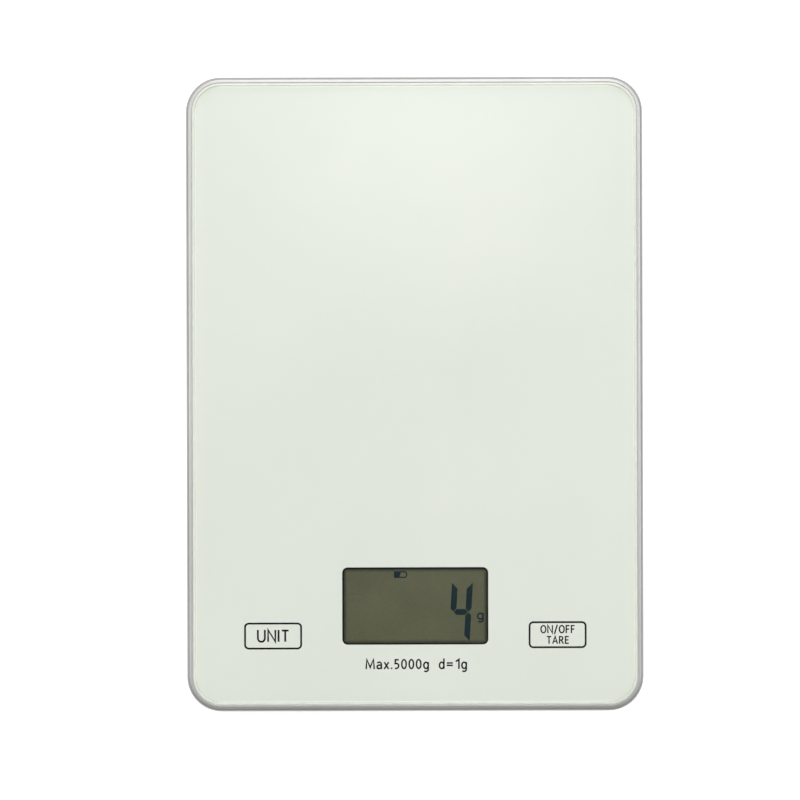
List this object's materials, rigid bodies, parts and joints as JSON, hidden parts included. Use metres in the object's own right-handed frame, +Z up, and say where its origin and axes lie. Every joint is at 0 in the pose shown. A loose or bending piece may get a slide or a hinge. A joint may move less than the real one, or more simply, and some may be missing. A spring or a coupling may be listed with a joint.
{
  "type": "kitchen scale",
  "caption": "Slim digital kitchen scale: flat pale glass platform in a silver rim, display and touch keys at the front, load-cell feet and a hinged battery door below.",
  "frame": {"origin": "on the table under the middle of the scale", "axes": "+Z up, +Y from the display end towards the far end, +X to the user's right when the display faces them"},
  "size_m": [0.144, 0.2, 0.016],
  "materials": {
    "glass": "tempered clear, polished edges",
    "enamel": "fired enamel printed under the glass, very pale green-grey",
    "ink": "dark slate printing ink",
    "tray_plastic": "moulded ABS sprayed silver",
    "foot_plastic": "moulded acetal, light grey",
    "foot_rubber": "soft grey rubber",
    "tape": "white acrylic foam tape",
    "label_paper": "blank silver-grey label",
    "cell_steel": "stamped spring steel",
    "gauge_resin": "white silicone over the strain gauge",
    "retainer_plastic": "black nylon",
    "screw_steel": "zinc-plated steel",
    "coin_steel": "nickel-plated steel can",
    "contact_metal": "nickel-plated spring strip",
    "board_laminate": "green solder mask on glass-fibre board",
    "epoxy": "black potting resin",
    "chip_ceramic": "tan and black chip bodies",
    "lcd_glass": "thin display glass",
    "polarizer": "grey-olive polarising film",
    "reflector": "grey-olive reflective film",
    "frame_plastic": "white ABS",
    "foam": "black foam strip",
    "zebra_rubber": "banded conductive rubber",
    "wire_mixed": "red, black and white wire insulation",
    "wire_red": "red wire insulation",
    "wire_black": "black wire insulation",
    "wire_white": "white wire insulation",
    "copper_pad": "copper foil",
    "solder": "tin solder"
  },
  "bodies": {
    "scale": {"glass_platform": "glass", "back_print": "enamel", "printed_legend": "ink", "glass_tape": "tape", "support_pads": "tape", "base_tray": "tray_plastic", "rating_label": "label_paper", "retainer_screws": "screw_steel", "coin_cell": "coin_steel", "battery_contact_negative": "contact_metal", "battery_contact_positive": "contact_metal", "circuit_board": "board_laminate", "processor_blob": "epoxy", "chip_components": "chip_ceramic", "clock_crystal": "coin_steel", "lcd_rear_polarizer": "reflector", "lcd_rear_glass": "lcd_glass", "lcd_front_glass": "lcd_glass", "lcd_front_polarizer": "polarizer", "lcd_frame": "frame_plastic", "lcd_gasket": "foam", "lcd_support_foam": "foam", "zebra_connector": "zebra_rubber", "board_screws": "screw_steel", "touch_electrode_unit": "copper_pad", "touch_electrode_power": "copper_pad", "battery_lead_red": "wire_red", "battery_lead_black": "wire_black", "touch_lead_unit": "wire_white", "touch_lead_power": "wire_white", "solder_joints": "solder", "foot_cup_front_left": "foot_plastic", "foot_pad_front_left": "foot_rubber", "load_cell_front_left": "cell_steel", "strain_gauge_front_left": "gauge_resin", "cell_retainer_front_left": "retainer_plastic", "cell_wires_front_left": "wire_mixed", "foot_cup_front_right": "foot_plastic", "foot_pad_front_right": "foot_rubber", "load_cell_front_right": "cell_steel", "strain_gauge_front_right": "gauge_resin", "cell_retainer_front_right": "retainer_plastic", "cell_wires_front_right": "wire_mixed", "foot_cup_rear_left": "foot_plastic", "foot_pad_rear_left": "foot_rubber", "load_cell_rear_left": "cell_steel", "strain_gauge_rear_left": "gauge_resin", "cell_retainer_rear_left": "retainer_plastic", "cell_wires_rear_left": "wire_mixed", "foot_cup_rear_right": "foot_plastic", "foot_pad_rear_right": "foot_rubber", "load_cell_rear_right": "cell_steel", "strain_gauge_rear_right": "gauge_resin", "cell_retainer_rear_right": "retainer_plastic", "cell_wires_rear_right": "wire_mixed"},
    "door": {"battery_door": "tray_plastic", "battery_door_latch": "tray_plastic"}
  },
  "joints": [
    {"name": "battery_door_hinge", "type": "hinge", "parent": "scale", "child": "door", "pos_m": [0, 0.0006, 0.0034], "axis": [1, 0, 0], "range_deg": [0, 75], "deforming": ["battery_door_latch"]}
  ]
}
